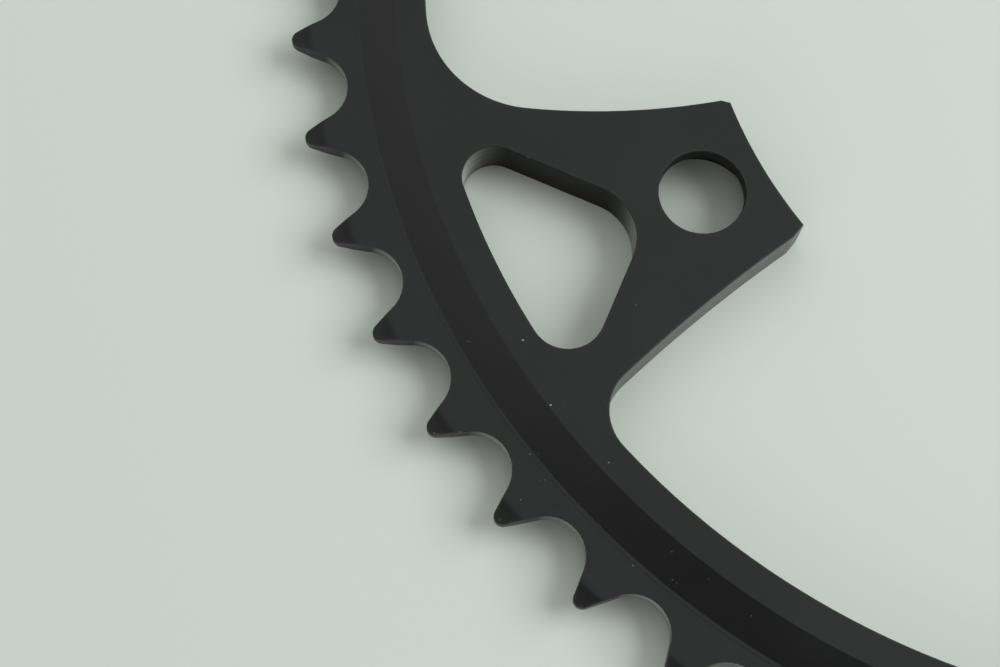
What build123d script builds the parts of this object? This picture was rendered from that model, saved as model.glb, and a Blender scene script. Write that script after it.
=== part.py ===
from build123d import *
import math
import os

# Chain and teeth, in millimetres
chain_pitch = 12.7
tooth_count = 52
seat_radius = 4.4
tip_height = 1.64
tip_rounding = 1.05
tip_lean = 0.2
tooth_thickness = 2.1
tip_chamfer_length = 2.3
face_tip_drop = 0.5
back_tip_drop = 0.5

# Rim, from the teeth inwards
root_strip = 2.2
cone_width = 4.4
cone_height = 1.3
foot_groove_width = 0.5
foot_groove_depth = 0.08
rim_flat = 3.7
thickness = 6.0
back_bevel_width = 3.2

# Tabs that reach in to the bolt circle, with one broad and one narrow side
tab_count = 5
tab_angle = 37.07
bolt_circle = 130.0
bolt_hole_diameter = 10.2
bolt_seat_thickness = 2.0
counterbore_diameter = 13.0
tab_end_margin = 7.9
tab_corner_end = 0.5
broad_side_end = 9.1
broad_side_root = 28.25
broad_side_radius = 81.0
broad_side_fillet = 13.2
broad_corner_side = 1.0
narrow_side_end = 9.5
narrow_side_root = 17.5
narrow_side_radius = 190.0
narrow_side_fillet = 6.0
narrow_corner_side = 1.9

# Window at the root of each tab, with walls to the tab's sides and corner radii as shares of its length
window_vertex_margin = 6.2
window_vertex_offset = 0.7
window_vertex_share = 0.337
window_broad_share = 0.197
window_narrow_share = 0.228
window_broad_wall = 3.75
window_narrow_wall = 2.2

# Circles about the ring's axis
tooth_angle = 360 / tooth_count
pitch_radius = chain_pitch / 2 / math.sin(math.pi / tooth_count)
root_radius = pitch_radius - seat_radius
tip_radius = pitch_radius + tip_height
cone_outer = root_radius - root_strip
cone_inner = cone_outer - cone_width
rim_inner = cone_inner - rim_flat
bolt_radius = bolt_circle / 2
tab_end = bolt_radius - tab_end_margin
window_vertex = bolt_radius + window_vertex_margin
window_length = rim_inner - window_vertex

# Heights above the back face
tooth_face = thickness - cone_height
tooth_back = tooth_face - tooth_thickness


def polar(radius, degrees):
    """Point at a radius and an angle about the ring's axis."""
    turn = math.radians(degrees)
    return Vector(radius * math.cos(turn), radius * math.sin(turn))


def flank(side):
    """Ends of one flank of a tooth on +X, on its tip and on its seat: side is 1 ahead of the tooth and -1 behind."""
    tip_centre = Vector(tip_radius - tip_rounding, -tip_lean)
    seat_centre = polar(pitch_radius, side * tooth_angle / 2)
    # A flank is the line that touches the tip's arc on one side and the seat's arc on the other
    apart = seat_centre - tip_centre
    heading = math.degrees(math.atan2(apart.Y, apart.X))
    aside = math.degrees(math.acos((seat_radius + tip_rounding) / apart.length))
    normal = polar(1, heading - side * aside)
    return tip_centre + normal * tip_rounding, seat_centre - normal * seat_radius


def tooth_outline():
    """Closed outline of all teeth: round seats on the pitch circle, straight flanks and round tips that lean back."""
    tip_ahead, seat_ahead = flank(1)
    tip_behind, seat_behind = flank(-1)
    next_tip = tip_behind.rotate(Axis.Z, tooth_angle)
    next_seat = seat_behind.rotate(Axis.Z, tooth_angle)
    tooth = [
        ThreePointArc(tip_behind, Vector(tip_radius, -tip_lean), tip_ahead),
        Line(tip_ahead, seat_ahead),
        ThreePointArc(seat_ahead, polar(root_radius, tooth_angle / 2), next_seat),
        Line(next_seat, next_tip),
    ]
    return Wire([edge.rotate(Axis.Z, step * tooth_angle) for step in range(tooth_count) for edge in tooth])


def side_disc(end_half_width, root_half_width, radius, side):
    """Disc whose edge is one concave side of a tab along +X: side is 1 above the tab and -1 below it."""
    end = Vector(tab_end, side * end_half_width)
    chord = Vector(rim_inner, side * root_half_width) - end
    reach = math.sqrt(radius**2 - (chord.length / 2) ** 2)
    centre = end + chord / 2 + chord.normalized().rotate(Axis.Z, 90 * side) * reach
    return Pos(centre) * Circle(radius)


def bay():
    """Open bay between the broad side of a tab along +X and the narrow side of the tab before it."""
    broad = side_disc(broad_side_end, broad_side_root, broad_side_radius, -1)
    narrow = side_disc(narrow_side_end, narrow_side_root, narrow_side_radius, 1)
    shape = Circle(rim_inner) & broad & (Rot(Z=-360 / tab_count) * narrow)
    for fillet_radius, nearest in ((broad_side_fillet, 0), (narrow_side_fillet, -360 / tab_count)):
        corner = shape.vertices().sort_by_distance(polar(rim_inner, nearest))[0]
        shape = fillet(corner, fillet_radius)
    return shape


def window():
    """Rounded three-sided window in the root of a tab along +X."""
    vertex = Vector(window_vertex, -window_vertex_offset)
    broad_end = Vector(rim_inner, window_broad_wall - broad_side_root)
    narrow_end = Vector(rim_inner, narrow_side_root - window_narrow_wall)
    # The sides run on past the rim's circle, which closes the window
    wedge = Polygon(vertex, broad_end * 2 - vertex, narrow_end * 2 - vertex, align=None)
    shape = Circle(rim_inner) & wedge
    corner_shares = (
        (window_vertex_share, vertex),
        (window_broad_share, broad_end),
        (window_narrow_share, narrow_end),
    )
    for share, nearest in corner_shares:
        corner = shape.vertices().sort_by_distance(nearest)[0]
        shape = fillet(corner, share * window_length)
    return shape


def around_tabs(shape):
    """One copy of a shape for each tab."""
    return [Rot(Z=tab_angle + step * 360 / tab_count) * shape for step in range(tab_count)]


def cut_corners(opening, turn):
    """Opening with the end corners of the tab at an angle cut off, further along the tab's sides than its end."""
    corners = (
        (-broad_side_end, broad_corner_side),
        (narrow_side_end, narrow_corner_side),
    )
    for half_width, side_length in corners:
        tab_end_edge = opening.edges().sort_by_distance(polar(tab_end, turn))[0]
        place = Vector(tab_end, half_width).rotate(Axis.Z, turn)
        corner = opening.vertices().sort_by_distance(place)[0]
        opening = chamfer(corner, tab_corner_end, side_length, reference=tab_end_edge)
    return opening


def plan():
    """Flat plan of the ring: teeth outside, tabs inside, windows and bolt holes cut through."""
    opening = Sketch() + [Circle(tab_end)] + around_tabs(bay())
    for step in range(tab_count):
        opening = cut_corners(opening, tab_angle + step * 360 / tab_count)
    holes = around_tabs(Pos(bolt_radius, 0) * Circle(bolt_hole_diameter / 2))
    return Sketch() + [Face(tooth_outline())] - opening - around_tabs(window()) - holes


def turned_section():
    """Half section of the turned blank, past the tips on the outside and past the tabs on the inside."""
    overreach = tip_rounding
    chamfer_start = tip_radius - tip_chamfer_length
    stretch = (tip_chamfer_length + overreach) / tip_chamfer_length
    blank_outer = tip_radius + overreach
    blank_inner = tab_end - overreach
    return Polygon(
        (blank_inner, 0),
        (cone_outer - back_bevel_width, 0),
        (cone_outer, tooth_back),
        (chamfer_start, tooth_back),
        (blank_outer, tooth_back + back_tip_drop * stretch),
        (blank_outer, tooth_face - face_tip_drop * stretch),
        (chamfer_start, tooth_face),
        (cone_outer + foot_groove_width, tooth_face),
        (cone_outer, tooth_face - foot_groove_depth),
        (cone_inner, thickness),
        (blank_inner, thickness),
        align=None,
    )


def chainring():
    """The whole ring, turned to its section, cut to its plan and counterbored from the back."""
    blank = revolve(Plane.XZ * turned_section(), Axis.Z)
    ring = blank & extrude(plan(), thickness)
    counterbore = Cylinder(
        counterbore_diameter / 2,
        thickness - bolt_seat_thickness,
        align=(Align.CENTER, Align.CENTER, Align.MIN),
    )
    return ring - around_tabs(Pos(bolt_radius, 0) * counterbore)


os.makedirs("parts", exist_ok=True)
export_step(chainring(), "parts/chainring.step")
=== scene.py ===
"""Looks of a satin black chainring that lies on a pale floor, seen close up."""

import logging
import math
from dataclasses import dataclass, field, replace
from enum import Enum

import bpy
import numpy as np
from mathutils import Matrix, Vector
from mathutils.geometry import delaunay_2d_cdt

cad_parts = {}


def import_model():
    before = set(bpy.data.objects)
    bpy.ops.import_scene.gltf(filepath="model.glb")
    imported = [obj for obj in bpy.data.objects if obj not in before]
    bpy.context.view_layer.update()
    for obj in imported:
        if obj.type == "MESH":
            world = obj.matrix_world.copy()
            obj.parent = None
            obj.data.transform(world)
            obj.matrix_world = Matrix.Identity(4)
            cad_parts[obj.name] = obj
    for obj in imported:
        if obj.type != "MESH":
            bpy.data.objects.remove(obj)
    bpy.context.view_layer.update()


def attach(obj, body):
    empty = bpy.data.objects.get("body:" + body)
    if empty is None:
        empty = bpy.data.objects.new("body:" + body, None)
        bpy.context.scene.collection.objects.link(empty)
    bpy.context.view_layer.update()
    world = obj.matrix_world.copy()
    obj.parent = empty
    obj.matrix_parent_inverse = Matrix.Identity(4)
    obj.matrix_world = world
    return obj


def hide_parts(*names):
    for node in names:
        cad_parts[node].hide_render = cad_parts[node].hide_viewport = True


Array = np.ndarray
Circle = tuple[Array, float]
Socket = bpy.types.NodeSocket
Pair = tuple[float, float]
Triple = tuple[float, float, float]
Colour = tuple[float, float, float, float]

LOG = logging.getLogger("chainring")
MILLIMETRE = 0.001
BODY = "root"
CAD_NODE = "chainring"

AXIS = np.zeros(2)
FLIP = np.array([1.0, -1.0])
UP = np.array([0.0, 0.0, 1.0])
# Likeness of two normals below which a path has a corner there
SHARP = math.cos(math.radians(10.0))
# Part of a normal along the axis from which a row is level, and part across it from which a row is upright
LEVEL = 0.99
UPRIGHT = 0.9
# Each stretch of path has this many parts or more, with one more place this near to each of its ends, in
# millimetres, and no other place nearer to the end than so many times that
FEWEST_PARTS = 2
END_GAP = 0.3
CLEAR_OF_END = 1.5
# Decimals of a metre to which points count as one
SAME_PLACE = 9
# What Blender's fill keeps of a face with holes, and how near it joins points
INSIDE_WITH_HOLES = 2
FILL_JOIN = 1e-7
# Distances from a mark's middle, as shares of its size, at which it starts to fade and is gone
MARK_CORE = 0.55
MARK_RIM = 1.25
# Numbers of a colour mix's sockets, whose names several share
MIX_SHARE, MIX_FIRST, MIX_SECOND, MIX_RESULT = 0, 6, 7, 2


class Finish(Enum):
    """How a surface of the ring was machined, which decides its material, along with light painted into it:
    painted shade on the sloped band and the back bevel, and a painted glint of reflected light on the walls.
    """

    FACE = 0
    CONE = 1
    WALL = 2
    BORE = 3


@dataclass(frozen=True)
class RingSizes:
    """Sizes of the chainring in millimetres and degrees, measured from its axis and its back face."""

    chain_pitch: float = 12.7
    tooth_count: int = 52
    seat_radius: float = 4.4
    tip_height: float = 1.64
    tip_rounding: float = 1.05
    tip_lean: float = 0.2
    tooth_thickness: float = 2.1
    tip_chamfer_length: float = 2.3
    face_tip_drop: float = 0.5
    back_tip_drop: float = 0.5
    root_strip: float = 2.2
    cone_width: float = 4.4
    cone_height: float = 1.3
    foot_groove_width: float = 0.5
    foot_groove_depth: float = 0.08
    rim_flat: float = 3.7
    thickness: float = 6.0
    back_bevel_width: float = 3.2
    tab_count: int = 5
    tab_angle: float = 37.07
    bolt_circle: float = 130.0
    bolt_hole_diameter: float = 10.2
    bolt_seat_thickness: float = 2.0
    counterbore_diameter: float = 13.0
    tab_end_margin: float = 7.9
    tab_corner_end: float = 0.5
    broad_side_end: float = 9.1
    broad_side_root: float = 28.25
    broad_side_radius: float = 81.0
    broad_side_fillet: float = 13.2
    broad_corner_side: float = 1.0
    narrow_side_end: float = 9.5
    narrow_side_root: float = 17.5
    narrow_side_radius: float = 190.0
    narrow_side_fillet: float = 6.0
    narrow_corner_side: float = 1.9
    window_vertex_margin: float = 6.2
    window_vertex_offset: float = 0.7
    window_vertex_share: float = 0.337
    window_broad_share: float = 0.197
    window_narrow_share: float = 0.228
    window_broad_wall: float = 3.75
    window_narrow_wall: float = 2.2

    @property
    def tooth_angle(self) -> float:
        """Angle from one tooth to the next, in radians."""
        return 2 * math.pi / self.tooth_count

    @property
    def pitch_radius(self) -> float:
        """Radius of the circle through the chain's rollers."""
        return self.chain_pitch / 2 / math.sin(math.pi / self.tooth_count)

    @property
    def tip_radius(self) -> float:
        """Radius of the circle round the tooth tips."""
        return self.pitch_radius + self.tip_height

    @property
    def cone_outer(self) -> float:
        """Radius of the sloped band's foot."""
        return self.pitch_radius - self.seat_radius - self.root_strip

    @property
    def cone_inner(self) -> float:
        """Radius of the sloped band's top edge."""
        return self.cone_outer - self.cone_width

    @property
    def rim_inner(self) -> float:
        """Radius of the rim's inner edge in the bays."""
        return self.cone_inner - self.rim_flat

    @property
    def bolt_radius(self) -> float:
        """Radius of the bolt circle."""
        return self.bolt_circle / 2

    @property
    def tab_end(self) -> float:
        """Radius of the tabs' inner ends."""
        return self.bolt_radius - self.tab_end_margin

    @property
    def tooth_face(self) -> float:
        """Height of the teeth's upper face."""
        return self.thickness - self.cone_height

    @property
    def tooth_back(self) -> float:
        """Height of the teeth's lower face."""
        return self.tooth_face - self.tooth_thickness

    @property
    def chamfer_start(self) -> float:
        """Radius at which the teeth begin to thin towards their tips."""
        return self.tip_radius - self.tip_chamfer_length


@dataclass
class Wire:
    """Closed path in plan, with the metal on its left hand.

    Attributes:
        points: Places along the path, shape (n, 2), in millimetres.
        normals: Vectors into the metal at those places, of length 1 or longer at sharp corners, where they
            reach the corner of a path moved into the metal by 1, shape (n, 2).
        painted_glint: Share of the painted glint, a pale reflection of light painted on the walls, at those
            places, shape (n,).
    """

    points: Array
    normals: Array
    painted_glint: Array = field(default_factory=lambda: np.zeros(0))

    def __post_init__(self) -> None:
        """Fills in a path without painted glint."""
        if len(self.painted_glint) != len(self.points):
            self.painted_glint = np.zeros(len(self.points))

    def turned(self, turns: Array) -> "Wire":
        """Chains copies of the path, each turned about the axis.

        Args:
            turns: Angle of each copy in radians, in the order in which the path meets them.

        Returns:
            The joined path.
        """
        cos, sin = np.cos(turns), np.sin(turns)
        matrix = np.stack([np.stack([cos, sin], -1), np.stack([-sin, cos], -1)], -2)
        paths = (self.points, self.normals)
        spun = [np.einsum("nk,tkj->tnj", path, matrix).reshape(-1, 2) for path in paths]
        return Wire(*spun, np.tile(self.painted_glint, len(turns)))


def join(*parts: Wire) -> Wire:
    """Joins stretches of path end to end, with one shared normal at each sharp corner.

    Args:
        *parts: Stretches in order, each without its last point. The first starts smoothly.

    Returns:
        One path.
    """
    normals = np.concatenate([p.normals for p in parts])
    before = np.roll(normals, 1, axis=0)
    likeness = np.sum(before * normals, axis=1)
    sharp = likeness < SHARP
    sharp[0] = False
    normals[sharp] = ((before + normals) / (1 + likeness)[:, None])[sharp]
    points = np.concatenate([p.points for p in parts])
    return Wire(points, normals, np.concatenate([p.painted_glint for p in parts]))


def heading(way: Array) -> float:
    """Angle of a vector from X, in radians."""
    return math.atan2(way[1], way[0])


def unit(angle: float) -> Array:
    """Vector of length 1 at an angle from X in radians."""
    return np.array([math.cos(angle), math.sin(angle)])


def spin(angle: float) -> Array:
    """Matrix that turns rows of vectors about the axis by an angle in radians."""
    cos, sin = unit(angle)
    return np.array([[cos, sin], [-sin, cos]])


def direction(way: Array) -> Array:
    """Vector of length 1 along another."""
    return way / np.hypot(*way)


def left_of(way: Array) -> Array:
    """Vector of length 1 on the left hand of another."""
    return np.array([-way[1], way[0]]) / np.hypot(*way)


def fractions(length: float, step: float) -> Array:
    """Spreads places evenly over a stretch, with one more close to each end, and leaves out its last point.

    Args:
        length: Length of the stretch in millimetres.
        step: Largest distance between places.

    Returns:
        Shares of the length, from 0 upwards.
    """
    even = np.linspace(0, 1, max(FEWEST_PARTS, math.ceil(length / step)) + 1)
    ends = np.array([END_GAP, length - END_GAP]) / length
    clear = CLEAR_OF_END * ends[0]
    inner = even[(even > clear) & (even < 1 - clear)]
    return np.concatenate([[0.0], ends[:1], inner, ends[1:]])


def clockwise_arc(centre: Array, start: Array, end: Array, step: float) -> Wire:
    """Circular stretch that turns clockwise: centre plus radius times the unit vector at a falling angle.

    Args:
        centre: Centre of the circle.
        start: First point, on the circle.
        end: Last point, on the circle.
        step: Largest distance between points.

    Returns:
        The stretch, with its normals pointing away from the centre.
    """
    radius = float(np.hypot(*(start - centre)))
    begin = heading(start - centre)
    sweep = (begin - heading(end - centre)) % (2 * math.pi)
    angle = begin - sweep * fractions(radius * sweep, step)
    away = np.stack([np.cos(angle), np.sin(angle)], -1)
    return Wire(centre + radius * away, away)


def straight(start: Array, end: Array, step: float) -> Wire:
    """Straight stretch with points a step apart: start plus a share of the way, with the metal on its left."""
    share = fractions(float(np.hypot(*(end - start))), step)[:, None]
    return Wire(start + share * (end - start), np.broadcast_to(left_of(end - start), (len(share), 2)))


def with_glint(arc: Wire, skew: float, strength: float = 1.0) -> Wire:
    """Stretch with painted glint, a pale reflection painted on its wall: strength times the squared sine of
    half a turn times the share to the skew.
    """
    share = np.linspace(0, 1, len(arc.points), endpoint=False)
    return replace(arc, painted_glint=strength * np.sin(math.pi * share**skew) ** 2)


def meet_circles(first: Circle, second: Circle, near: Array) -> Array:
    """Finds where two circles cross.

    Args:
        first: Centre and radius of one circle.
        second: Centre and radius of the other.
        near: Point that picks the nearer of the two crossings.

    Returns:
        The crossing.
    """
    (a, ra), (b, rb) = first, second
    distance = float(np.hypot(*(b - a)))
    along = (ra**2 - rb**2 + distance**2) / (2 * distance)
    foot = a + along * direction(b - a)
    side = math.sqrt(ra**2 - along**2) * left_of(b - a)
    return min(foot + side, foot - side, key=lambda point: float(np.hypot(*(point - near))))


@dataclass(frozen=True)
class TabSide:
    """One side of a tab along X: centres of its circle and its rounding, touches and ends of its cut corner."""

    centre: Array
    round_centre: Array
    on_rim: Array
    on_side: Array
    side_corner: Array
    end_corner: Array

    def flipped(self) -> "TabSide":
        """The same side below X."""
        return TabSide(*(point * FLIP for point in vars(self).values()))


@dataclass(frozen=True)
class RingPlan:
    """Paths of the ring's plan, worked out from its sizes.

    Attributes:
        sizes: The ring's sizes.
        step: Largest distance between points on long stretches, in millimetres.
        tip_step: The same on the teeth's tips.
        hole_step: The same round the bolt holes.
        wall_glint: Weight of the painted glint, a pale reflection painted on the walls, along the great
            opening.
        seat_skew: Power that puts the painted glint before or after the middle of a tooth's seat.
        broad_skew: The same in the window's corner on the broad side.
        narrow_skew: The same in its corner on the narrow side.
        vertex_skew: The same in its inner corner.
        vertex_glint: Weight of the painted glint in that corner.
    """

    sizes: RingSizes
    step: float = 0.7
    tip_step: float = 0.7 / 3
    hole_step: float = 0.35
    wall_glint: float = 0.36
    seat_skew: float = 1.0
    broad_skew: float = 0.4
    narrow_skew: float = 1.0
    vertex_skew: float = 1.8
    vertex_glint: float = 0.6

    def tab_turns(self) -> Array:
        """Angles of the tabs in radians, in clockwise order."""
        s = self.sizes
        return math.radians(s.tab_angle) - np.arange(s.tab_count) * 2 * math.pi / s.tab_count

    def tip_centre(self) -> Array:
        """Centre of the tip's arc on a tooth along X."""
        s = self.sizes
        return np.array([s.tip_radius - s.tip_rounding, -s.tip_lean])

    def flank(self, side: int) -> tuple[Array, Array]:
        """Ends of one flank of a tooth along X, the line that touches the tip's arc and the seat's arc.

        Args:
            side: 1 for the flank ahead of the tooth and -1 for the one behind it.

        Returns:
            Its end on the tip and its end on the seat.
        """
        s = self.sizes
        seat_centre = s.pitch_radius * unit(side * s.tooth_angle / 2)
        apart = seat_centre - self.tip_centre()
        aside = math.acos((s.seat_radius + s.tip_rounding) / np.hypot(*apart))
        normal = unit(heading(apart) - side * aside)
        return self.tip_centre() + normal * s.tip_rounding, seat_centre - normal * s.seat_radius

    def teeth(self) -> Wire:
        """Outline of all teeth: a round tip, a straight flank, a round seat and the next flank, and so on.

        Returns:
            The outline, counter-clockwise, with the metal inside.
        """
        s = self.sizes
        seat_centre = s.pitch_radius * unit(s.tooth_angle / 2)
        tip_ahead, seat_ahead = self.flank(1)
        tip_behind, seat_behind = self.flank(-1)
        next_tip, next_seat = (point @ spin(s.tooth_angle) for point in (tip_behind, seat_behind))
        mirrored = clockwise_arc(self.tip_centre() * FLIP, tip_behind * FLIP, tip_ahead * FLIP, self.tip_step)
        tooth = join(
            Wire(mirrored.points * FLIP, -mirrored.normals * FLIP),
            straight(tip_ahead, seat_ahead, self.step),
            # The seat's wall carries painted glint, a pale reflection painted on it
            with_glint(clockwise_arc(seat_centre, seat_ahead, next_seat, self.step), self.seat_skew),
            straight(next_seat, next_tip, self.step),
        )
        return tooth.turned(np.arange(s.tooth_count) * s.tooth_angle)

    def tab_side(self, end: float, root: float, radius: float, fillet: float, cut: float) -> TabSide:
        """Marks the points of a tab's upper side: a circle through its end and root, rounded into the rim.

        Args:
            end: Half width at the tab's end.
            root: Half width at the rim's inner radius.
            radius: Radius of the side.
            fillet: Radius of the rounding into the rim.
            cut: Length of the cut corner along the side.

        Returns:
            Centres and touching points.
        """
        s = self.sizes
        first = np.array([s.tab_end, end])
        chord = np.array([s.rim_inner, root]) - first
        half_chord = float(np.hypot(*chord)) / 2
        centre = first + chord / 2 + left_of(chord) * math.sqrt(radius**2 - half_chord**2)
        round_centre = meet_circles((AXIS, s.rim_inner - fillet), (centre, radius - fillet), first + chord)
        corner = meet_circles((AXIS, s.tab_end), (centre, radius), first)
        return TabSide(
            centre=centre,
            round_centre=round_centre,
            on_rim=direction(round_centre) * s.rim_inner,
            on_side=centre + radius * direction(round_centre - centre),
            side_corner=centre + (corner - centre) @ spin(cut / radius),
            end_corner=s.tab_end * unit(heading(corner) - s.tab_corner_end / s.tab_end),
        )

    def opening(self) -> Wire:
        """Edge of the great opening: along each tab's narrow side, end and broad side, and along the rim.

        Returns:
            The edge, clockwise, with the metal outside.
        """
        s, step = self.sizes, self.step
        narrow = s.narrow_side_end, s.narrow_side_root, s.narrow_side_radius
        upper = self.tab_side(*narrow, s.narrow_side_fillet, s.narrow_corner_side)
        broad = s.broad_side_end, s.broad_side_root, s.broad_side_radius
        lower = self.tab_side(*broad, s.broad_side_fillet, s.broad_corner_side).flipped()
        tab = join(
            clockwise_arc(upper.round_centre, upper.on_rim, upper.on_side, step),
            clockwise_arc(upper.centre, upper.on_side, upper.side_corner, step),
            straight(upper.side_corner, upper.end_corner, step),
            clockwise_arc(AXIS, upper.end_corner, lower.end_corner, step),
            straight(lower.end_corner, lower.side_corner, step),
            clockwise_arc(lower.centre, lower.side_corner, lower.on_side, step),
            clockwise_arc(lower.round_centre, lower.on_side, lower.on_rim, step),
            clockwise_arc(AXIS, lower.on_rim, upper.on_rim @ spin(-2 * math.pi / s.tab_count), step),
        )
        # The great opening's walls carry painted glint, a pale reflection painted on them
        return replace(tab, painted_glint=np.full(len(tab.points), self.wall_glint)).turned(self.tab_turns())

    def window(self) -> Wire:
        """Edge of the window in a tab along X: two sides from a vertex and the rim's circle, all rounded.

        Returns:
            The edge, clockwise, with the metal outside.
        """
        s, step = self.sizes, self.step
        vertex = np.array([s.bolt_radius + s.window_vertex_margin, -s.window_vertex_offset])
        length = s.rim_inner - vertex[0]
        broad = direction(np.array([s.rim_inner, s.window_broad_wall - s.broad_side_root]) - vertex)
        narrow = direction(np.array([s.rim_inner, s.narrow_side_root - s.window_narrow_wall]) - vertex)
        half = math.acos(float(broad @ narrow)) / 2
        vertex_round = s.window_vertex_share * length
        vertex_centre = vertex + direction(broad + narrow) * vertex_round / math.sin(half)
        reach = vertex_round / math.tan(half)
        on_broad, on_narrow = vertex + broad * reach, vertex + narrow * reach

        def corner(way: Array, inward: Array, radius: float) -> tuple[Array, Array, Array]:
            """Rounds a side into the rim's circle: its centre lies a radius inside of both.

            Args:
                way: Direction of the side from the vertex.
                inward: Direction from the side into the window.
                radius: Radius of the rounding.

            Returns:
                Its centre, its touch on the side and its touch on the circle.
            """
            start = vertex + inward * radius
            along = float(start @ way)
            far = (s.rim_inner - radius) ** 2 - float(start @ start)
            centre = start + way * (math.sqrt(along**2 + far) - along)
            return centre, centre - inward * radius, direction(centre) * s.rim_inner

        b_centre, b_side, b_rim = corner(broad, left_of(broad), s.window_broad_share * length)
        n_centre, n_side, n_rim = corner(narrow, -left_of(narrow), s.window_narrow_share * length)
        vertex_arc = clockwise_arc(vertex_centre, on_broad, on_narrow, step)
        # The window's rounded corners carry painted glint, a pale reflection painted on their walls
        return join(
            clockwise_arc(AXIS, n_rim, b_rim, step),
            with_glint(clockwise_arc(b_centre, b_rim, b_side, step), self.broad_skew),
            straight(b_side, on_broad, step),
            with_glint(vertex_arc, self.vertex_skew, self.vertex_glint),
            straight(on_narrow, n_side, step),
            with_glint(clockwise_arc(n_centre, n_side, n_rim, step), self.narrow_skew),
        )

    def bolt_hole(self) -> Wire:
        """Edge of the bolt hole in a tab along X, as two half circles.

        Returns:
            The edge, clockwise, with the metal outside.
        """
        s = self.sizes
        centre, reach = np.array([s.bolt_radius, 0.0]), np.array([s.bolt_hole_diameter / 2, 0.0])
        ends = centre + reach, centre - reach
        return join(*(clockwise_arc(centre, *pair, self.hole_step) for pair in (ends, ends[::-1])))


@dataclass
class Skin:
    """Closed skin that gathers swept rows and flat faces into one mesh."""

    points: list[Array] = field(default_factory=list)
    normals: list[Array] = field(default_factory=list)
    wear: list[Array] = field(default_factory=list)
    painted_glint: list[Array] = field(default_factory=list)
    faces: list[Array] = field(default_factory=list)
    finishes: list[Array] = field(default_factory=list)
    total: int = 0

    def sweep(
        self, points: Array, normals: Array, wear: Array, painted_glint: Array, finishes: list[Finish]
    ) -> Array:
        """Joins rows of points that go round a closed path into strips of four-sided faces.

        Args:
            points: Places, shape (rows, n, 3).
            normals: Outward unit vectors at those places, same shape.
            wear: Share of edge wear in each row, shape (rows,).
            painted_glint: Share of painted glint, a pale reflection painted on walls, at those places, shape
                (rows, n).
            finishes: Finish of each strip between two rows.

        Returns:
            The points' numbers in the skin, shape (rows, n).
        """
        rows, n = points.shape[:2]
        index = self.total + np.arange(rows * n).reshape(rows, n)
        after = np.roll(index, -1, axis=1)
        quads = np.stack([index[:-1], index[1:], after[1:], after[:-1]], -1)
        self.points.append(points.reshape(-1, 3))
        self.normals.append(normals.reshape(-1, 3))
        self.wear.append(np.repeat(wear, n))
        self.painted_glint.append(painted_glint.ravel())
        self.faces.append(quads.reshape(-1, 4))
        self.finishes.append(np.repeat([f.value for f in finishes], n))
        self.total += rows * n
        return index

    def flat(self, outer: Array, holes: list[Array], upward: bool, finish: Finish) -> None:
        """Fills the level face between an outer path and the holes in it with triangles of their points.

        Args:
            outer: Numbers of the outer path's points.
            holes: Numbers of each hole's points.
            upward: Whether the face looks up.
            finish: Its finish.
        """
        loops = [outer, *(hole[::-1] for hole in holes)]
        numbers = np.concatenate(loops)
        where = np.concatenate(self.points)[numbers][:, :2]
        ends = np.cumsum([len(loop) for loop in loops])
        spans = [list(range(end - len(loop), end)) for loop, end in zip(loops, ends)]
        places = [Vector(place) for place in where]
        filled = delaunay_2d_cdt(places, [], spans, INSIDE_WITH_HOLES, FILL_JOIN)
        _, _, triangles, sources, _, _ = filled
        source = np.array([same[0] for same in sources])
        corners = numbers[source[np.array(triangles)]]
        corners = corners if upward else corners[:, ::-1]
        self.faces.append(np.concatenate([corners, np.full((len(corners), 1), -1)], axis=1))
        self.finishes.append(np.full(len(corners), finish.value))

    def build(self, name: str, materials: list[bpy.types.Material]) -> bpy.types.Object:
        """Makes the object, with the worked-out normals, wear and painted glint stored on its faces' corners.

        Points that share a place become one point, and faces that have no area are left out.

        Args:
            name: Name of the piece.
            materials: Materials in the order of the finishes.

        Returns:
            The object, at the origin.
        """
        places = np.concatenate(self.points) * MILLIMETRE
        _, first, twin = np.unique(places.round(SAME_PLACE), axis=0, return_index=True, return_inverse=True)
        twin = twin.reshape(-1)
        faces = np.concatenate(self.faces)
        joined = np.where(faces < 0, faces, twin[faces])
        kept = (faces >= 0) & (joined != np.roll(joined, 1, axis=1))
        real = kept.sum(axis=1) > 2
        sides = kept[real].sum(axis=1)
        corners = faces[real][kept[real]]
        mesh = bpy.data.meshes.new(name)
        mesh.vertices.add(len(first))
        mesh.vertices.foreach_set("co", places[first].ravel())
        mesh.loops.add(len(corners))
        mesh.loops.foreach_set("vertex_index", twin[corners].astype(np.int32))
        mesh.polygons.add(len(sides))
        mesh.polygons.foreach_set("loop_start", (np.cumsum(sides) - sides).astype(np.int32))
        mesh.polygons.foreach_set("material_index", np.concatenate(self.finishes)[real].astype(np.int32))
        mesh.polygons.foreach_set("use_smooth", np.ones(len(sides), dtype=bool))
        mesh.update(calc_edges=True)
        mesh.validate()
        mesh.normals_split_custom_set(np.concatenate(self.normals)[corners].tolist())
        for title, shares in (("edge_wear", self.wear), ("painted_glint", self.painted_glint)):
            layer = mesh.attributes.new(title, "FLOAT", "CORNER")
            layer.data.foreach_set("value", np.concatenate(shares)[corners].astype(np.float32))
        for material in materials:
            mesh.materials.append(material)
        piece = bpy.data.objects.new(name, mesh)
        bpy.context.scene.collection.objects.link(piece)
        return piece


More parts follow.
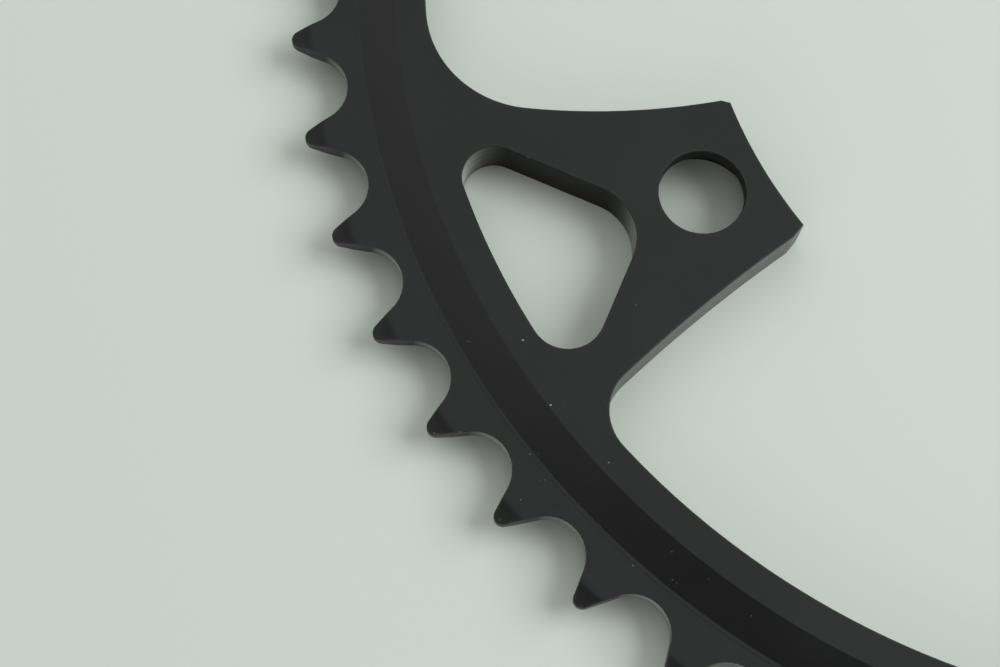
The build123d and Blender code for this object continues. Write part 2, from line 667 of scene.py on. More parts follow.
@dataclass(frozen=True)
class NodeBench:
    """Short calls for wiring a material's nodes."""

    tree: bpy.types.NodeTree

    def node(
        self, kind: str, settings: dict[str, object] | None = None, *values: object, **inputs: object
    ) -> bpy.types.Node:
        """Adds a node.

        Args:
            kind: Blender's node type.
            settings: Node properties to set first.
            *values: A value or another node's socket for each input, in their order.
            **inputs: The same for inputs by name, with underscores for spaces.

        Returns:
            The node.
        """
        made = self.tree.nodes.new(kind)
        for key, value in (settings or {}).items():
            setattr(made, key, value)
        for socket, value in zip(made.inputs, values):
            self.put(socket, value)
        for key, value in inputs.items():
            self.put(made.inputs[key.replace("_", " ")], value)
        return made

    def put(self, socket: Socket, value: object) -> None:
        """Links a socket into an input, or sets the input's own value.

        Args:
            socket: The input.
            value: Another node's output, a number or a tuple.
        """
        if isinstance(value, Socket):
            self.tree.links.new(value, socket)
        else:
            socket.default_value = value

    def math(self, operation: str, *values: object) -> Socket:
        """Result of a Math node, with its inputs in order."""
        return self.node("ShaderNodeMath", {"operation": operation}, *values).outputs[0]

    def vector(self, operation: str, *values: object) -> Socket:
        """Result of a Vector Math node, with its inputs in order."""
        made = self.node("ShaderNodeVectorMath", {"operation": operation}, *values)
        return made.outputs["Value" if operation == "LENGTH" else "Vector"]

    def span(self, value: Socket, low: float, high: float, start: float = 0.0, end: float = 1.0) -> Socket:
        """Value mapped smoothly from the range of low to high onto that of start to end."""
        smooth = {"interpolation_type": "SMOOTHSTEP"}
        return self.node("ShaderNodeMapRange", smooth, value, low, high, start, end).outputs["Result"]

    def noise(self, vector: Socket, pattern: Triple, output: str = "Fac") -> Socket:
        """Noise of about 0 to 1, whose pattern is cells per unit, octaves and weight of the finer octaves."""
        inputs = dict(zip(("Scale", "Detail", "Roughness"), pattern))
        return self.node("ShaderNodeTexNoise", Vector=vector, **inputs).outputs[output]

    def attribute(self, name: str) -> Socket:
        """Value that the mesh stores under a name."""
        return self.node("ShaderNodeAttribute", {"attribute_name": name}).outputs["Fac"]

    def blend(self, share: object, first: object, second: object) -> Socket:
        """Mixes two colours.

        Args:
            share: Socket with the second colour's share.
            first: Colour or socket.
            second: Colour or socket.

        Returns:
            The mixed colour.
        """
        made = self.node("ShaderNodeMix", {"data_type": "RGBA"})
        for number, value in ((MIX_SHARE, share), (MIX_FIRST, first), (MIX_SECOND, second)):
            self.put(made.inputs[number], value)
        return made.outputs[MIX_RESULT]


@dataclass(frozen=True)
class Mark:
    """One small mark, a stretched blot: a nick, a scratch or a flake of dust.

    Attributes:
        place: Its middle in millimetres.
        length: Half its length in millimetres.
        width: Half its width in millimetres.
        turn: Direction of its length in degrees from X.
        strength: Share of the mark's colour in its middle.
        depth: Half its reach along Z in millimetres.
    """

    place: Triple
    length: float
    width: float
    turn: float
    strength: float
    depth: float = 0.6

    def mask(self, bench: NodeBench, millimetres: Socket) -> Socket:
        """Shades the mark: its strength near its middle, falling to nothing at its rim.

        Args:
            bench: Bench of the material.
            millimetres: Socket with the coordinates.

        Returns:
            The mark's share.
        """
        local = bench.node(
            "ShaderNodeMapping",
            {"vector_type": "TEXTURE"},
            Vector=millimetres,
            Location=self.place,
            Rotation=(0.0, 0.0, math.radians(self.turn)),
            Scale=(self.length, self.width, self.depth),
        )
        return bench.span(bench.vector("LENGTH", local.outputs[0]), MARK_CORE, MARK_RIM, self.strength, 0.0)


@dataclass(frozen=True)
class Patterns:
    """Noise patterns in the metal, in millimetres, and the values of them that show, for all finishes.

    Attributes:
        circles: Fine circles about the axis, as cells per unit, octaves and weight of the finer octaves.
        circle_cells: Cells per millimetre of radius and per radian.
        lines: Lines along the walls.
        line_cells: Stretch of the lines' coordinates.
        grain: Fine grain.
        cloud: Broad patches.
        weights: Weights of grain, cloud and machining marks in the tone.
        tone: Tones of the dark and of the light colour.
        glint: Range of the lines, and the painted glint's shares at its ends.
        nicks: Nicks along edges.
        nick: Range in which nicks start.
        nick_wear: Range of edge wear in which nicks start.
        rub: Range of the cloud, and the rubbed colour's shares at its ends.
        scratches: Fine scratches.
        scratch_turn: Their direction in degrees.
        scratch_cells: Stretch of their coordinates.
        scratch: Range in which scratches start.
        patches: Patches that are scratched.
        patch: Range in which those start.
        shake: Noise that makes the rims of marks ragged.
        shake_reach: How far it moves them.
        matt_marks: Middle of the machining marks and their weight in the roughness.
        matt_cloud: Middle of the cloud and its weight in the roughness.
        grain_height: Height of the grain against the machining marks.
        bare_depth: Depth of nicks and scratches against those.
        bump: Strength of the relief.
        bump_height: Its height in metres.
    """

    circles: Triple = (1.0, 3.0, 0.65)
    circle_cells: Pair = (7.0, 9.0)
    lines: Triple = (2.0, 3.0, 0.65)
    line_cells: Triple = (0.05, 0.05, 1.0)
    grain: Triple = (4.5, 3.0, 0.7)
    cloud: Triple = (0.11, 3.0, 0.55)
    weights: Triple = (0.35, 0.5, 0.5)
    tone: Pair = (0.35, 0.95)
    glint: tuple[float, ...] = (0.35, 0.65, 0.6, 1.0)
    nicks: Triple = (1.7, 2.0, 0.6)
    nick: Pair = (0.66, 0.74)
    nick_wear: Pair = (0.75, 1.0)
    rub: tuple[float, ...] = (0.2, 0.8, 0.15, 0.7)
    scratches: Triple = (1.0, 1.0, 0.4)
    scratch_turn: float = 38.0
    scratch_cells: Triple = (2.6, 0.10, 1.0)
    scratch: Pair = (0.735, 0.775)
    patches: Triple = (0.07, 1.0, 0.5)
    patch: Pair = (0.5, 0.62)
    shake: Triple = (5.0, 1.0, 0.5)
    shake_reach: float = 0.12
    matt_marks: Pair = (0.3, 0.10)
    matt_cloud: Pair = (0.5, 0.12)
    grain_height: float = 0.25
    bare_depth: float = 0.5
    bump: float = 0.35
    bump_height: float = 0.00002


PATTERNS = Patterns()


@dataclass(frozen=True)
class Anodised:
    """Black anodised aluminium, with the marks of one way of machining.

    Attributes:
        name: Name of the material.
        dark: Colour of the darker patches.
        light: Colour of the lighter patches.
        roughness: Middle roughness.
        specular: Level of the clear gloss.
        turning: Weight of the fine circles that a lathe leaves.
        streaks: Weight of the lines that a milling cutter leaves along a wall.
        scratches: Weight of fine pale scratches.
        nicks: Weight of the nicks along edges.
        flakes: Pale marks at places of their own.
        gouges: Dark marks at places of their own.
        fade: Two radii between which the colour darkens towards the tips, painted shade of their chamfers
            falling away from the light, or none.
        tip_shade: Colour of the painted shade on the tips.
        glint: Colour of the painted glint, a pale reflection of light painted on walls in corners and seats,
            streaked along the machining lines.
        rubbed: Colour of rubbed edges.
        bare_metal: Colour of nicks and scratches.
        lint: Colour of dust.
        shade: Colour in the bottom of a gouge.
    """

    name: str
    dark: Colour
    light: Colour
    roughness: float
    specular: float
    turning: float
    streaks: float
    scratches: float
    nicks: float
    flakes: tuple[Mark, ...] = ()
    gouges: tuple[Mark, ...] = ()
    fade: tuple[float, ...] = ()
    tip_shade: Colour = (0.0016, 0.0021, 0.0018, 1.0)
    glint: Colour = (0.08, 0.08, 0.07, 1.0)
    rubbed: Colour = (0.023, 0.027, 0.025, 1.0)
    bare_metal: Colour = (0.42, 0.42, 0.41, 1.0)
    lint: Colour = (0.50, 0.50, 0.48, 1.0)
    shade: Colour = (0.002, 0.002, 0.002, 1.0)

    def scratched(self, bench: NodeBench, millimetres: Socket) -> Socket:
        """Shades fine scratches: a noise drawn out along one direction, where another noise is high.

        Args:
            bench: Bench of the material.
            millimetres: Socket with the coordinates.

        Returns:
            The scratches' share.
        """
        p = PATTERNS
        turn = (0.0, 0.0, math.radians(p.scratch_turn))
        way = bench.node("ShaderNodeMapping", Vector=millimetres, Rotation=turn, Scale=p.scratch_cells)
        lines = bench.span(bench.noise(way.outputs[0], p.scratches), *p.scratch)
        patches = bench.span(bench.noise(millimetres, p.patches), *p.patch)
        return bench.math("MULTIPLY", bench.math("MULTIPLY", lines, patches), self.scratches)

    def marked(self, bench: NodeBench, millimetres: Socket, colour: Socket) -> Socket:
        """Lays the marks that have places of their own over a colour, with their rims shaken by a noise.

        Args:
            bench: Bench of the material.
            millimetres: Socket with the coordinates.
            colour: Socket with the colour.

        Returns:
            The marked colour.
        """
        shaken = bench.noise(millimetres, PATTERNS.shake, "Color")
        ragged = bench.vector("MULTIPLY_ADD", shaken, (PATTERNS.shake_reach,) * 3, millimetres)
        for marks, paint in ((self.flakes, self.lint), (self.gouges, self.shade)):
            for mark in marks:
                colour = bench.blend(mark.mask(bench, ragged), colour, paint)
        return colour

    def build(self) -> bpy.types.Material:
        """Wires the material: mottled colour, machining marks, painted shade towards the tips, painted glint on
        walls, edge wear, scratches and single marks.

        Returns:
            The material.
        """
        p = PATTERNS
        material = bpy.data.materials.new(self.name)
        material.use_nodes = True
        material.node_tree.nodes.clear()
        bench = NodeBench(material.node_tree)
        place = bench.node("ShaderNodeTexCoord").outputs["Object"]
        millimetres = bench.vector("MULTIPLY", place, (1 / MILLIMETRE,) * 3)
        x, y, z = bench.node("ShaderNodeSeparateXYZ", Vector=millimetres).outputs
        squares = bench.math("MULTIPLY", x, x), bench.math("MULTIPLY", y, y)
        radius = bench.math("SQRT", bench.math("ADD", *squares))
        across = bench.math("MULTIPLY", radius, p.circle_cells[0])
        around = bench.math("MULTIPLY", bench.math("ARCTAN2", y, x), p.circle_cells[1])
        rings = bench.node("ShaderNodeCombineXYZ", X=across, Y=around, Z=z).outputs[0]
        circles = bench.noise(rings, p.circles)
        lines = bench.noise(bench.vector("MULTIPLY", millimetres, p.line_cells), p.lines)
        grain = bench.noise(millimetres, p.grain)
        cloud = bench.noise(millimetres, p.cloud)
        streaks = bench.math("MULTIPLY", lines, self.streaks)
        marks = bench.math("ADD", bench.math("MULTIPLY", circles, self.turning), streaks)
        tone = bench.math("MULTIPLY_ADD", cloud, p.weights[1], bench.math("MULTIPLY", marks, p.weights[2]))
        tone = bench.math("MULTIPLY_ADD", grain, p.weights[0], tone)
        colour = bench.blend(bench.span(tone, *p.tone), self.dark, self.light)
        # Painted shade: the colour darkens towards the tips, whose chamfers fall away from the light
        if self.fade:
            colour = bench.blend(bench.span(radius, *self.fade), colour, self.tip_shade)

        # Painted glint: a pale reflection painted on the walls, streaked along the machining lines
        cut = bench.math("MULTIPLY", bench.attribute("painted_glint"), bench.span(lines, *p.glint))
        colour = bench.blend(cut, colour, self.glint)
        wear = bench.attribute("edge_wear")
        worn = bench.math("MULTIPLY", wear, bench.span(cloud, *p.rub))
        colour = bench.blend(worn, colour, self.rubbed)
        nicks = bench.span(bench.noise(millimetres, p.nicks), *p.nick)
        nicks = bench.math("MULTIPLY", nicks, bench.span(wear, *p.nick_wear, 0.0, self.nicks))
        bare = bench.math("MAXIMUM", nicks, self.scratched(bench, millimetres))
        colour = bench.blend(bare, colour, self.bare_metal)
        colour = self.marked(bench, millimetres, colour)

        matt = self.roughness
        for pattern, (middle, weight) in ((marks, p.matt_marks), (cloud, p.matt_cloud)):
            matt = bench.math("MULTIPLY_ADD", bench.math("SUBTRACT", pattern, middle), weight, matt)
        height = bench.math("MULTIPLY_ADD", grain, p.grain_height, marks)
        height = bench.math("SUBTRACT", height, bench.math("MULTIPLY", bare, p.bare_depth))
        relief = bench.node("ShaderNodeBump", Strength=p.bump, Distance=p.bump_height, Height=height)
        shader = bench.node(
            "ShaderNodeBsdfPrincipled", Base_Color=colour, Roughness=matt, Normal=relief.outputs["Normal"]
        )
        shader.inputs["Specular IOR Level"].default_value = self.specular
        bench.node("ShaderNodeOutputMaterial", Surface=shader.outputs[0])
        return material


FINISHES: dict[Finish, Anodised] = {
    Finish.FACE: Anodised(
        name="anodised_face", dark=(0.0106, 0.0130, 0.0123, 1), light=(0.0162, 0.0192, 0.0183, 1),
        roughness=0.42, specular=0.22, turning=0.35, streaks=0.0, scratches=0.04, nicks=0.3,
        # The tips' chamfers get painted shade between these radii
        fade=(104.05, 105.1),
        flakes=(
            Mark((-91.81, -8.11, 6.0), 0.15, 0.11, -38, 0.45),
            Mark((-91.19, -7.97, 6.0), 0.07, 0.07, 0, 0.10),
            Mark((-92.39, -16.33, 6.0), 0.13, 0.11, 0, 0.55),
            Mark((-91.11, -16.92, 6.0), 0.07, 0.07, 0, 0.05),
            Mark((-91.37, -17.44, 6.0), 0.07, 0.07, 0, 0.04),
            Mark((-89.55, -25.13, 6.0), 0.11, 0.10, 0, 0.30),
            Mark((-78.23, -10.03, 6.0), 0.12, 0.10, 0, 0.08),
            Mark((-100.12, -24.35, 4.7), 0.11, 0.10, 0, 0.20),
            Mark((-96.88, -20.13, 4.7), 0.12, 0.11, 0, 0.12),
            Mark((-97.25, -23.37, 4.7), 0.10, 0.07, -12, 0.06),
            Mark((-96.70, -23.51, 4.7), 0.09, 0.08, 0, 0.12),
            Mark((-92.28, -36.47, 4.7), 0.10, 0.10, 0, 0.18),
            Mark((-105.31, 11.99, 4.7), 0.13, 0.08, -26, 0.18),
            Mark((-105.88, -13.39, 4.7), 0.10, 0.07, -64, 0.08),
            Mark((-99.38, -37.72, 4.7), 0.09, 0.07, -40, 0.08),
            Mark((-101.73, -13.38, 4.7), 0.77, 0.06, -69, 0.010),
            Mark((-95.42, -26.96, 4.7), 0.91, 0.05, -69, 0.014),
            Mark((-95.10, -28.32, 4.7), 0.95, 0.05, -72, 0.016),
            Mark((-94.86, -31.52, 4.7), 1.22, 0.05, -70, 0.014),
        ),
        gouges=(
            Mark((-96.64, -26.78, 4.7), 0.34, 0.09, -62, 0.7),
            Mark((-96.20, -27.27, 4.7), 0.25, 0.07, -53, 0.45),
        ),
    ),
    # The sloped band and the back bevel are painted darker than the face: painted shade, as they fall away from
    # the light
    Finish.CONE: Anodised(
        name="anodised_cone", dark=(0.0014, 0.0024, 0.0022, 1), light=(0.0031, 0.0045, 0.0042, 1),
        roughness=0.32, specular=0.32, turning=0.6, streaks=0.0, scratches=0.04, nicks=0.3,
        flakes=(
            Mark((-97.29, -5.30, 5.04), 0.31, 0.08, -49, 0.07),
            Mark((-95.96, -20.55, 4.83), 0.10, 0.10, 0, 0.04),
            Mark((-95.84, -23.32, 4.70), 0.60, 0.06, -68, 0.03),
            Mark((-94.34, -27.60, 4.78), 0.10, 0.10, 0, 0.05),
            Mark((-87.83, -37.09, 5.65), 0.10, 0.09, 0, 0.12),
            Mark((-89.07, -39.83, 5.00), 0.11, 0.09, 30, 0.12),
            Mark((-88.83, -40.32, 5.00), 0.09, 0.08, 0, 0.10),
            Mark((-89.69, -40.11, 4.79), 0.08, 0.08, 0, 0.08),
            Mark((-85.57, -41.55, 5.72), 0.08, 0.08, 0, 0.07),
            Mark((-83.22, -47.22, 5.55), 0.09, 0.08, 0, 0.14),
        ),
    ),
    Finish.WALL: Anodised(
        name="anodised_wall", dark=(0.0070, 0.0074, 0.0062, 1), light=(0.0140, 0.0145, 0.0125, 1),
        roughness=0.40, specular=0.35, turning=0.0, streaks=0.9, scratches=0.0, nicks=0.15,
        # Pale colour of the painted glint, a reflection painted on the walls
        glint=(0.330, 0.340, 0.300, 1.0),
        flakes=(
            Mark((-102.84, -14.36, 4.7), 0.14, 0.06, -26, 0.15, 0.3),
            Mark((-104.57, -13.92, 4.7), 0.40, 0.07, -21, 0.14, 0.3),
        ),
    ),
    Finish.BORE: Anodised(
        name="anodised_bore", dark=(0.0040, 0.0040, 0.0034, 1), light=(0.0130, 0.0127, 0.0107, 1),
        roughness=0.50, specular=0.15, turning=0.0, streaks=0.9, scratches=0.0, nicks=0.1,
        # Pale colour of the painted glint, a reflection painted on the walls
        glint=(0.55, 0.565, 0.53, 1.0),
    ),
}


@dataclass(frozen=True)
class ChainringSkin:
    """The ring's visible skin: teeth, sloped band, tabs, windows and bolt holes, with softly broken edges.

    Attributes:
        sizes: The ring's sizes.
        edge_round: Radius of the broken edges, in millimetres.
        edge_band: Width of the strip along each edge that can be worn.
        crease: Half width of the soft line where two turned surfaces meet.
        tip_crease: Half width of the softer line where the tips begin to fall.
        groove_tilt: Slope at which the shallow groove at the sloped band's foot catches light.
        lip_tilt: Slope of the groove's outer lip, which lies in shade.
        turns: Shares of a quarter turn at which an edge's rounding has rows.
        flank_rows: Shares of a flank's height at which it has rows.
        crest_wear: Edge wear along the sloped band's top edge.
        groove_wear: Edge wear in the groove at its foot.
        tip_wear: Edge wear where the tips begin to fall.
        bevel_wear: Edge wear along the foot of the bevel on the back.
    """

    sizes: RingSizes = RingSizes()
    edge_round: float = 0.12
    edge_band: float = 0.34
    crease: float = 0.07
    tip_crease: float = 0.3
    groove_tilt: float = 0.012
    lip_tilt: float = 0.14
    turns: tuple[float, ...] = (0.0, 1 / 3, 2 / 3, 1.0)
    flank_rows: Pair = (0.3, 0.7)
    crest_wear: float = 0.12
    groove_wear: float = 0.06
    tip_wear: float = 0.2
    bevel_wear: float = 0.3

    def through_edge(self, levels: list[Pair]) -> tuple[Array, Array, Array]:
        """Section of a wall through the plate: a polyline of levels with quarter circles for its corners.

        Args:
            levels: Corner points as inset into the metal and height, from the upper face to the lower.

        Returns:
            Inset and height of each row, its normal out of the metal as (sideways, up), and its wear.
        """
        corners = np.array(levels)
        ways = np.diff(corners, axis=0)
        ways /= np.linalg.norm(ways, axis=1)[:, None]
        facing = np.stack([-ways[:, 1], -ways[:, 0]], -1)
        rows, normals, wear = [], [], []
        quarter = np.array(self.turns)[:, None] * math.pi / 2
        for k in range(1, len(corners) - 1):
            before, after = ways[k - 1], ways[k]
            start = corners[k] - before * self.edge_round
            bend = start + self.edge_round * (np.sin(quarter) * before + (1 - np.cos(quarter)) * after)
            bend_facing = np.cos(quarter) * facing[k - 1] + np.sin(quarter) * facing[k]
            rows += [corners[k] - before * self.edge_band, *bend, corners[k] + after * self.edge_band]
            normals += [facing[k - 1], *bend_facing, facing[k]]
            wear += [0.0, *np.ones(len(bend)), 0.0]
        return np.array(rows), np.array(normals), np.array(wear)

    def wall(self, skin: Skin, wire: Wire, levels: list[Pair], side: Finish) -> Array:
        """Carries a wall's section along a path: each row is the path moved into the metal by its inset.

        Args:
            skin: Skin to add to.
            wire: The path.
            levels: Corner points of the section.
            side: Finish of the upright part.

        Returns:
            Numbers of the points, row by row.
        """
        rows, facing, wear = self.through_edge(levels)
        flat = wire.points[None] + rows[:, :1, None] * wire.normals[None]
        points = np.concatenate([flat, np.broadcast_to(rows[:, 1:, None], (*flat.shape[:2], 1))], -1)
        unit = wire.normals / np.linalg.norm(wire.normals, axis=1)[:, None]
        aside = -facing[:, :1, None] * unit[None]
        normals = np.concatenate([aside, np.broadcast_to(facing[:, 1:, None], (*flat.shape[:2], 1))], -1)
        level = np.abs(facing[:, 1]) > LEVEL
        finishes = [Finish.FACE if a and b else side for a, b in zip(level[:-1], level[1:])]
        upright = 1 - np.abs(facing[:, 1:])
        return skin.sweep(points, normals, wear, upright * wire.painted_glint, finishes)

    def toothed_rim(self, skin: Skin, wire: Wire) -> Array:
        """Carries the rim's section along the teeth: circles up to the root, then the outline and its offset.

        The upper side falls along the sloped band, runs level over the teeth and falls again to the tips.

        Args:
            skin: Skin to add to.
            wire: Outline of the teeth.

        Returns:
            Numbers of the points, row by row.
        """
        s, e, c = self.sizes, self.edge_round, self.crease
        inset = wire.points + wire.normals * e
        inset_radius = np.hypot(*inset.T)
        outward = inset / inset_radius[:, None]
        face_slope = s.face_tip_drop / s.tip_chamfer_length
        back_slope = s.back_tip_drop / s.tip_chamfer_length
        cone_slope = s.cone_height / s.cone_width
        bevel_slope = s.tooth_back / s.back_bevel_width
        inset_beyond = np.maximum(inset_radius - s.chamfer_start, 0)
        tip = (inset_radius > s.chamfer_start)[:, None]
        out3 = np.concatenate([outward, np.zeros((len(outward), 1))], -1)
        aside = np.concatenate([-wire.normals, np.zeros((len(outward), 1))], -1)

        def slant(slope: float, side: int) -> Array:
            """Normals of a turned surface with a fall outwards, on the upper side, 1, or the lower, -1."""
            raw = out3 * slope + side * UP
            return raw / np.linalg.norm(raw, axis=1)[:, None]

        def circle(radius: Array | float, height: Array | float) -> Array:
            """Row of points on the radial lines of the inset outline."""
            wide, high, _ = np.broadcast_arrays(radius, height, inset_radius)
            return np.concatenate([outward * wide[:, None], high[:, None]], -1)

        def rounded(turn: float, height: Array, top: Array, sign: int) -> tuple[Array, Array]:
            """Row on the rounding between a face and the flank, a quarter circle.

            Args:
                turn: Share of the quarter turn from the face.
                height: Height of the face's edge at each point.
                top: Normals of the face.
                sign: 1 for the upper face and -1 for the lower one.

            Returns:
                The points and their normals.
            """
            angle = turn * math.pi / 2
            flat = wire.points + wire.normals * e * (1 - math.sin(angle))
            high = height - sign * e * (1 - math.cos(angle))
            normal = aside * math.sin(angle) + top * math.cos(angle)
            normal = normal / np.linalg.norm(normal, axis=1)[:, None]
            return np.concatenate([flat, high[:, None]], -1), normal

        flat_up, flat_down = np.broadcast_to(UP, out3.shape), np.broadcast_to(-UP, out3.shape)
        cone, face_tip, back_tip = slant(cone_slope, 1), slant(face_slope, 1), slant(back_slope, -1)
        groove, lip, bevel = slant(-self.groove_tilt, 1), slant(self.lip_tilt, 1), slant(bevel_slope, -1)
        face_top = np.where(tip, face_tip, flat_up)
        back_top = np.where(tip, back_tip, flat_down)
        face_edge = s.tooth_face - inset_beyond * face_slope
        back_edge = s.tooth_back + inset_beyond * back_slope
        crease_in = np.minimum(s.chamfer_start - self.tip_crease, inset_radius)
        crease_out = np.minimum(s.chamfer_start + self.tip_crease, inset_radius)
        crease_drop = np.maximum(crease_out - s.chamfer_start, 0)
        face_crease = s.tooth_face - crease_drop * face_slope
        bevel_inner = s.cone_outer - s.back_bevel_width
        foot, groove_end = s.tooth_face - s.foot_groove_depth, s.cone_outer + s.foot_groove_width
        flank = aside / np.linalg.norm(aside, axis=1)[:, None]
        rows: list[tuple[Array, Array, float, Finish]] = [
            (circle(s.cone_inner - self.edge_band, s.thickness), flat_up, 0.0, Finish.FACE),
            (circle(s.cone_inner - c, s.thickness), flat_up, self.crest_wear, Finish.CONE),
            (circle(s.cone_inner + c, s.thickness - c * cone_slope), cone, self.crest_wear, Finish.CONE),
            (circle(s.cone_outer - c, foot + c * cone_slope), cone, 0.0, Finish.FACE),
            (circle(s.cone_outer + c, foot), groove, self.groove_wear, Finish.FACE),
            (circle(groove_end - 2 * c, foot), groove, self.groove_wear, Finish.FACE),
            (circle(groove_end - c, s.tooth_face), lip, 0.0, Finish.FACE),
            (circle(groove_end, s.tooth_face), lip, 0.0, Finish.FACE),
            (circle(groove_end + c, s.tooth_face), flat_up, 0.0, Finish.FACE),
            (circle(crease_in, s.tooth_face), flat_up, 0.0, Finish.FACE),
            (circle(crease_out, face_crease), face_top, self.tip_wear, Finish.FACE),
        ]
        for turn in self.turns:
            rows.append((*rounded(turn, face_edge, face_top, 1), 1.0, Finish.WALL))
        for share in self.flank_rows:
            level = face_edge - e + share * (back_edge - face_edge + 2 * e)
            rows.append((np.concatenate([wire.points, level[:, None]], -1), flank, 0.0, Finish.WALL))
        for turn in reversed(self.turns):
            rows.append((*rounded(turn, back_edge, back_top, -1), 1.0, Finish.WALL))
        rows += [
            (circle(crease_out, s.tooth_back + crease_drop * back_slope), back_top, 0.0, Finish.FACE),
            (circle(crease_in, s.tooth_back), flat_down, 0.0, Finish.FACE),
            (circle(s.cone_outer + c, s.tooth_back), flat_down, 0.0, Finish.FACE),
            (circle(s.cone_outer - c, s.tooth_back - c * bevel_slope), bevel, 0.0, Finish.CONE),
            (circle(bevel_inner + c, c * bevel_slope), bevel, self.bevel_wear, Finish.FACE),
            (circle(bevel_inner - c, 0.0), flat_down, self.bevel_wear, Finish.FACE),
        ]
        points = np.stack([r[0] for r in rows])
        normals = np.stack([r[1] for r in rows])
        wear = np.array([r[2] for r in rows])
        upright = np.linalg.norm(normals[..., :2], axis=-1) > UPRIGHT
        return skin.sweep(points, normals, wear, upright * np.sqrt(wire.painted_glint), [r[3] for r in rows[:-1]])

    def build(self) -> bpy.types.Object:
        """Builds the closed skin from its walls and level faces.

        Returns:
            The object.
        """
        s, band = self.sizes, self.edge_band
        plan, skin = RingPlan(s), Skin()
        top, seat = s.thickness, s.thickness - s.bolt_seat_thickness
        sink = (s.counterbore_diameter - s.bolt_hole_diameter) / 2
        plain = [(band, top), (0.0, top), (0.0, 0.0), (band, 0.0)]
        bored = [(band, top), (0.0, top), (0.0, seat), (sink, seat), (sink, 0.0), (sink + band, 0.0)]
        rim = self.toothed_rim(skin, plan.teeth())
        walls = [self.wall(skin, plan.opening(), plain, Finish.WALL)]
        for turn in plan.tab_turns():
            here = np.array([turn])
            walls.append(self.wall(skin, plan.window().turned(here), plain, Finish.BORE))
            walls.append(self.wall(skin, plan.bolt_hole().turned(here), bored, Finish.BORE))
        skin.flat(rim[0], [w[0] for w in walls], True, Finish.FACE)
        skin.flat(rim[-1], [w[-1] for w in walls], False, Finish.FACE)
        return skin.build("chainring_skin", [FINISHES[f].build() for f in Finish])


@dataclass(frozen=True)
class Lamp:
    """Square soft lamp: its direction in degrees, its distance and side in metres and its power in watts."""

    name: str
    azimuth: float
    elevation: float
    distance: float
    size: float
    power: float

    def hang(self, target: Triple) -> None:
        """Hangs the lamp: from its target along its direction by its distance, looking back.

        Args:
            target: Point that it looks at, in metres.
        """
        light = bpy.data.lights.new(self.name, "AREA")
        light.shape, light.size, light.energy = "SQUARE", self.size, self.power
        lamp = bpy.data.objects.new(self.name, light)
        a, b = math.radians(self.azimuth), math.radians(self.elevation)
        way = Vector((math.cos(a) * math.cos(b), math.sin(a) * math.cos(b), math.sin(b)))
        lamp.location = Vector(target) + way * self.distance
        lamp.rotation_euler = way.to_track_quat("Z", "Y").to_euler()
        bpy.context.scene.collection.objects.link(lamp)


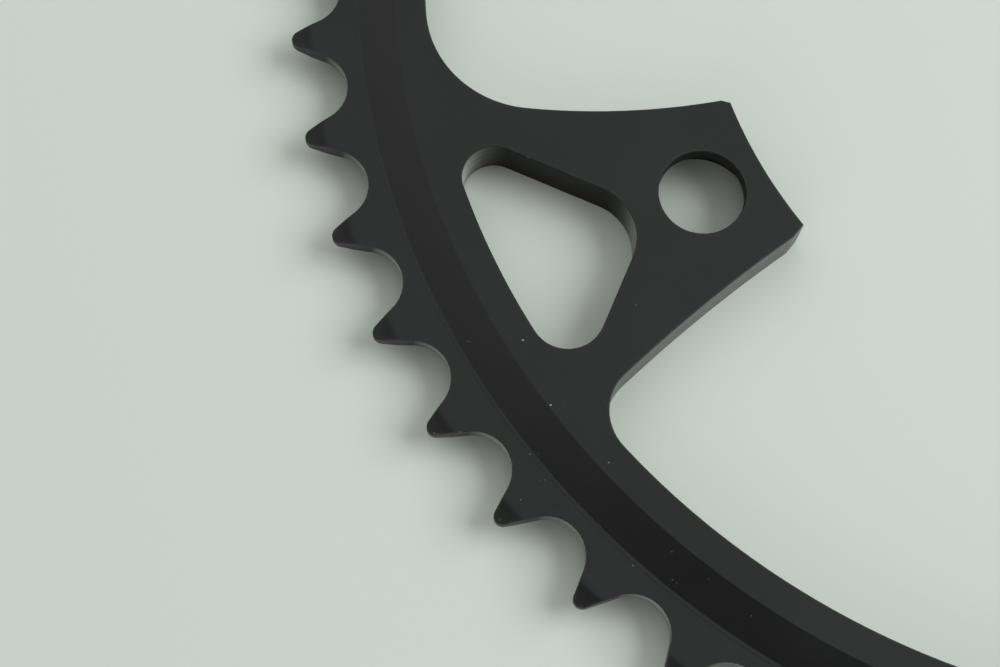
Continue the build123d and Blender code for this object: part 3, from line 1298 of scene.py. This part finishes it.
@dataclass(frozen=True)
class Studio:
    """Pale floor, soft light and the camera.

    Attributes:
        floor_colour: Colour of the floor.
        floor_roughness: Its roughness.
        floor_specular: Level of its gloss.
        floor_half: Half the floor's side, in metres.
        floor_pale: Distances from the axis, in metres, between which the floor comes to show its own colour.
        ambient: Strength of the even light from all round.
        ambient_colour: Colour of the even light.
        lamps: The lamps.
        lamp_target: Point that the lamps look at, in metres.
        focal_length: Lens in millimetres.
        sensor_width: Width of the camera's sensor in millimetres.
        clip: Nearest and furthest distance that the camera sees, in metres.
        camera_place: The camera's place in metres.
        camera_target: Point that the middle of the picture shows.
        camera_roll: Turn of the camera about its own axis, in degrees.
    """

    floor_colour: Colour = (0.580, 0.643, 0.598, 1.0)
    floor_roughness: float = 0.9
    floor_specular: float = 0.1
    floor_half: float = 8.0
    floor_pale: Pair = (0.3, 0.8)
    ambient: float = 0.30
    ambient_colour: Colour = (1.0, 0.98, 0.92, 1.0)
    lamps: tuple[Lamp, ...] = (
        Lamp("key", azimuth=-18.0, elevation=42.0, distance=1.2, size=0.85, power=11.8),
        Lamp("overhead", azimuth=88.0, elevation=57.0, distance=1.1, size=1.3, power=4.2),
        Lamp("fill", azimuth=215.0, elevation=22.0, distance=1.3, size=1.0, power=3.1),
    )
    lamp_target: Triple = (-0.08, 0.0, 0.0)
    focal_length: float = 69.784
    sensor_width: float = 36.0
    clip: Pair = (0.01, 20.0)
    camera_place: Triple = (-0.125913, -0.061637, 0.217381)
    camera_target: Triple = (-0.09387, -0.006341, 0.006)
    camera_roll: float = 3.983

    def paper(self) -> bpy.types.Material:
        """Wires the floor's material: matt, and in its own colour where the lamps no longer reach it.

        Returns:
            The material.
        """
        material = bpy.data.materials.new("floor_paper")
        material.use_nodes = True
        nodes = material.node_tree.nodes
        matt = nodes["Principled BSDF"]
        matt.inputs["Base Color"].default_value = self.floor_colour
        matt.inputs["Roughness"].default_value = self.floor_roughness
        matt.inputs["Specular IOR Level"].default_value = self.floor_specular
        bench = NodeBench(material.node_tree)
        away = bench.vector("LENGTH", bench.node("ShaderNodeTexCoord").outputs["Object"])
        ray = bench.node("ShaderNodeLightPath").outputs
        seen = bench.math("MAXIMUM", ray["Is Camera Ray"], ray["Is Glossy Ray"])
        seen = bench.math("MAXIMUM", seen, ray["Is Transmission Ray"])
        share = bench.math("MULTIPLY", seen, bench.span(away, *self.floor_pale))
        plain = bench.node("ShaderNodeEmission", Color=self.floor_colour)
        both = bench.node("ShaderNodeMixShader", None, share, matt.outputs[0], plain.outputs[0])
        bench.put(nodes["Material Output"].inputs["Surface"], both.outputs[0])
        return material

    def floor(self) -> bpy.types.Object:
        """Lays a square floor under the ring.

        Returns:
            The floor.
        """
        corners = np.array([[-1, -1, 0], [1, -1, 0], [1, 1, 0], [-1, 1, 0]]) * self.floor_half
        mesh = bpy.data.meshes.new("pale_floor")
        mesh.from_pydata(corners.tolist(), [], [(0, 1, 2, 3)])
        mesh.materials.append(self.paper())
        ground = bpy.data.objects.new("pale_floor", mesh)
        bpy.context.scene.collection.objects.link(ground)
        return ground

    def light(self) -> None:
        """Sets the even light and hangs the lamps."""
        world = bpy.data.worlds.new("studio")
        world.use_nodes = True
        even = world.node_tree.nodes["Background"]
        even.inputs["Color"].default_value = self.ambient_colour
        even.inputs["Strength"].default_value = self.ambient
        bpy.context.scene.world = world
        for lamp in self.lamps:
            lamp.hang(self.lamp_target)

    def camera(self) -> bpy.types.Object:
        """Places the camera, from place to target and turned by the roll, and sets plain colours.

        Returns:
            The camera.
        """
        data = bpy.data.cameras.new("photo_view")
        data.sensor_fit, data.sensor_width, data.lens = "HORIZONTAL", self.sensor_width, self.focal_length
        data.clip_start, data.clip_end = self.clip
        eye = bpy.data.objects.new("photo_view", data)
        view = Vector(self.camera_target) - Vector(self.camera_place)
        level = view.to_track_quat("-Z", "Y").to_matrix().to_4x4()
        roll = Matrix.Rotation(math.radians(self.camera_roll), 4, "Z")
        eye.matrix_world = Matrix.Translation(self.camera_place) @ level @ roll
        bpy.context.scene.collection.objects.link(eye)
        bpy.context.scene.camera = eye
        bpy.context.scene.view_settings.view_transform = "Standard"
        return eye


def main() -> None:
    """Loads the solid, dresses it and sets up the studio."""
    logging.basicConfig(level=logging.INFO, format="%(name)s: %(message)s")
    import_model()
    ring = ChainringSkin().build()
    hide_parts(CAD_NODE)
    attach(ring, BODY)
    LOG.info("ring skin: %d points, %d faces", len(ring.data.vertices), len(ring.data.polygons))
    studio = Studio()
    studio.floor()
    studio.light()
    studio.camera()


if __name__ == "__main__":
    main()
